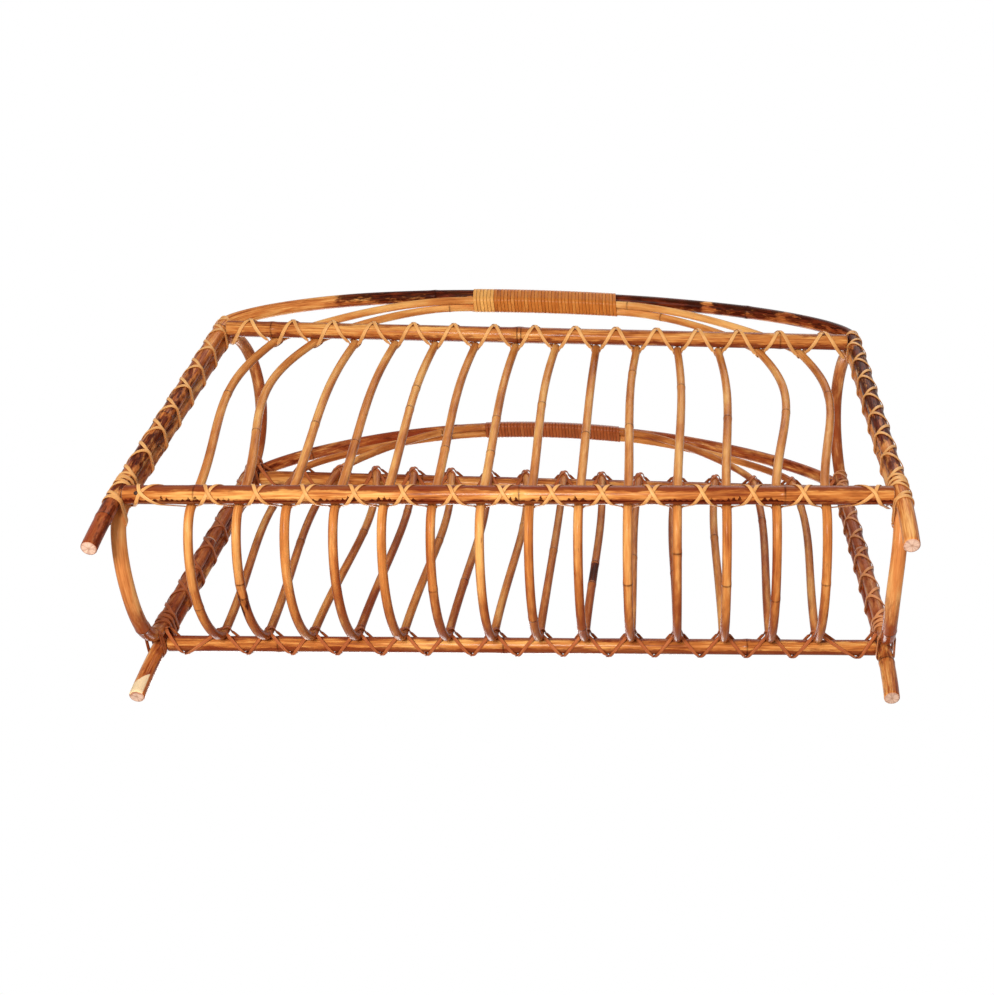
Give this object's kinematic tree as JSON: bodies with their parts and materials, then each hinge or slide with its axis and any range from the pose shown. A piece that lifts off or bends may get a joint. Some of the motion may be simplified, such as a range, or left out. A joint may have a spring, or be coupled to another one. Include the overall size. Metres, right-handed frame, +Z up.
{
  "type": "magazine basket",
  "caption": "Bent cane magazine rack with an open slatted trough on four straight feet, two arched carrying handles and end hoops, bound and laced with split cane.",
  "frame": {"origin": "on the floor, under the middle of the rack's bounding box", "axes": "+Z up, +X along the rods and the handles, +Y across the rack towards its far side"},
  "size_m": [0.5232, 0.1739, 0.3635],
  "materials": {
    "frame_cane": "varnished bamboo cane, red-brown with burnt patches, satin gloss",
    "rod_cane": "varnished cane, golden brown with darker mottling, satin gloss",
    "rib_cane": "varnished thin cane, honey orange with thin dark node rings, glossy",
    "hoop_cane": "varnished cane, golden brown, glossy",
    "handle_wrap": "wound split cane, orange tan, satin",
    "split_cane": "flat split cane strands, pale tan, satin",
    "nail": "small nail head dulled by varnish"
  },
  "bodies": {
    "root": {"near_frame": "frame_cane", "far_frame": "frame_cane", "near_handle_wrap": "handle_wrap", "far_handle_wrap": "handle_wrap", "near_top_rod": "rod_cane", "near_bottom_rod": "rod_cane", "far_top_rod": "rod_cane", "far_bottom_rod": "rod_cane", "near_top_rod_lacing_a": "split_cane", "near_top_rod_lacing_b": "split_cane", "near_bottom_rod_lacing_a": "split_cane", "near_bottom_rod_lacing_b": "split_cane", "far_top_rod_lacing_a": "split_cane", "far_top_rod_lacing_b": "split_cane", "far_bottom_rod_lacing_a": "split_cane", "far_bottom_rod_lacing_b": "split_cane", "near_bottom_rod_nail": "nail", "near_left_leg_binding": "split_cane", "near_right_leg_binding": "split_cane", "far_left_leg_binding": "split_cane", "far_right_leg_binding": "split_cane", "left_end_hoop": "hoop_cane", "right_end_hoop": "hoop_cane", "rib_01": "rib_cane", "rib_02": "rib_cane", "rib_03": "rib_cane", "rib_04": "rib_cane", "rib_05": "rib_cane", "rib_06": "rib_cane", "rib_07": "rib_cane", "rib_08": "rib_cane", "rib_09": "rib_cane", "rib_10": "rib_cane", "rib_11": "rib_cane", "rib_12": "rib_cane", "rib_13": "rib_cane", "rib_14": "rib_cane"}
  },
  "joints": []
}
